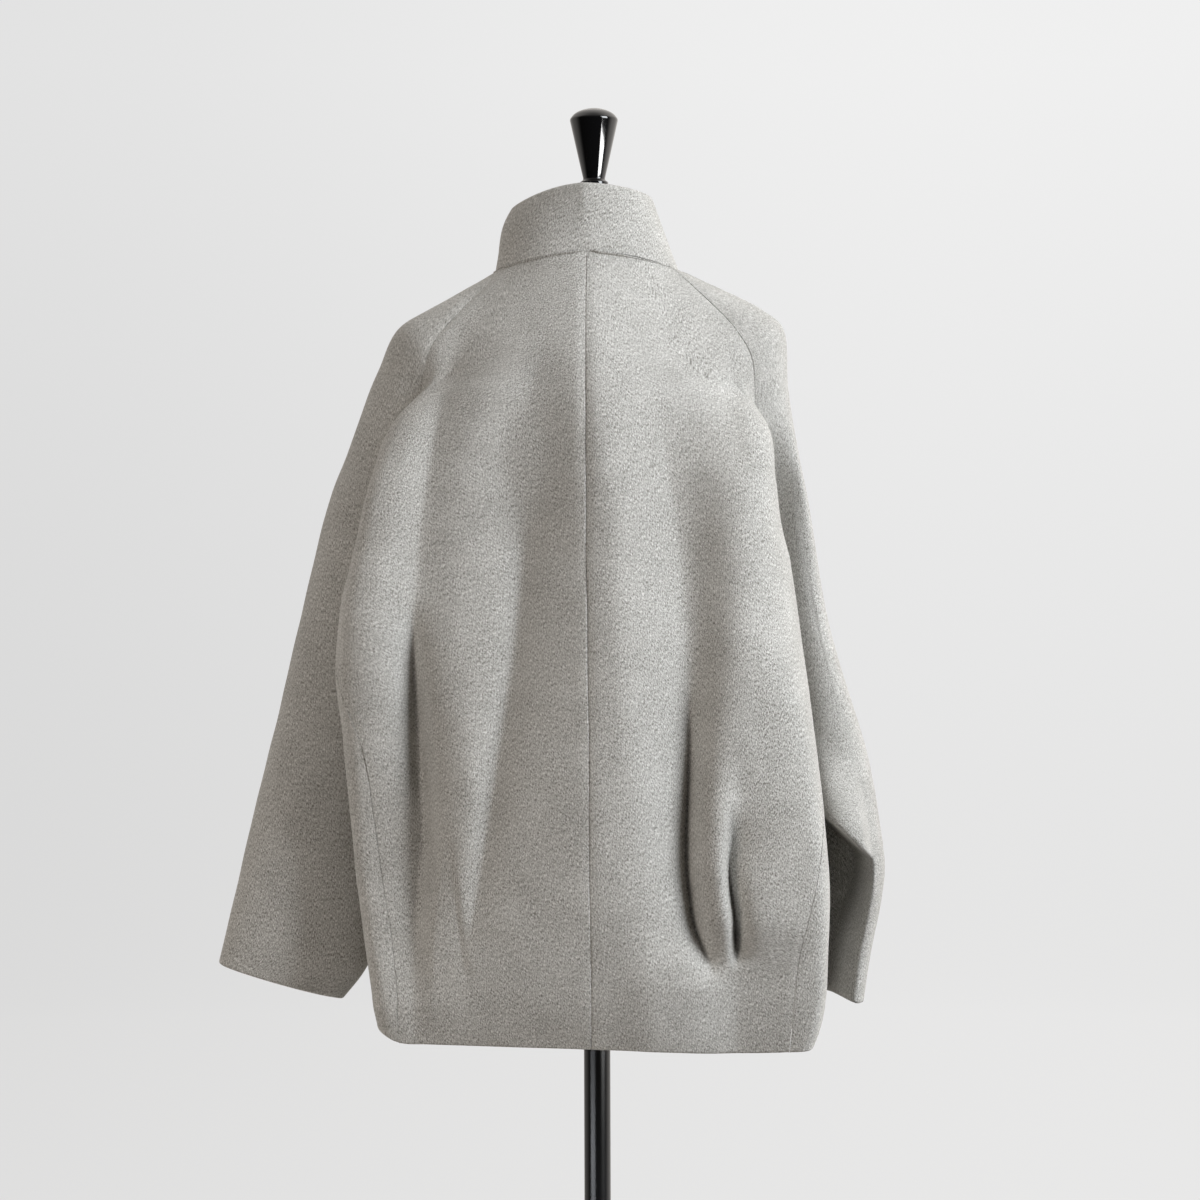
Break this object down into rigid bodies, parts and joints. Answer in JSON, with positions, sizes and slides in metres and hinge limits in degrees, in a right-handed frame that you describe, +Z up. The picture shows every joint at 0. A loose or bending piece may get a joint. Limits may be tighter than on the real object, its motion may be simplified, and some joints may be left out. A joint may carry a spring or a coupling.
{
  "type": "wool blouson on a dress form",
  "caption": "Cocoon-shaped blouson of thick pale wool with raglan sleeves, a funnel collar and hem tucks, worn on a limbless dress form with a cone finial, a pole and a round foot.",
  "frame": {"origin": "on the floor, at the centre of the foot's underside, on the axis of the pole", "axes": "+Z up along the pole, +Y out of the garment's back, +X towards the wearer's left"},
  "size_m": [0.6345, 0.3639, 1.5258],
  "materials": {
    "wool": "milled and brushed heather wool, matte with a soft nap",
    "linen": "plain woven natural linen, stretched",
    "black_lacquer": "gloss black lacquer on turned wood",
    "black_steel": "satin black paint on steel"
  },
  "bodies": {
    "root": {"back_left": "wool", "back_right": "wool", "front_left": "wool", "front_right": "wool", "sleeve_left": "wool", "sleeve_right": "wool", "collar": "wool", "form_torso": "linen", "neck_cap": "black_lacquer", "finial": "black_lacquer", "pole": "black_steel", "base_plate": "black_steel"}
  },
  "joints": []
}
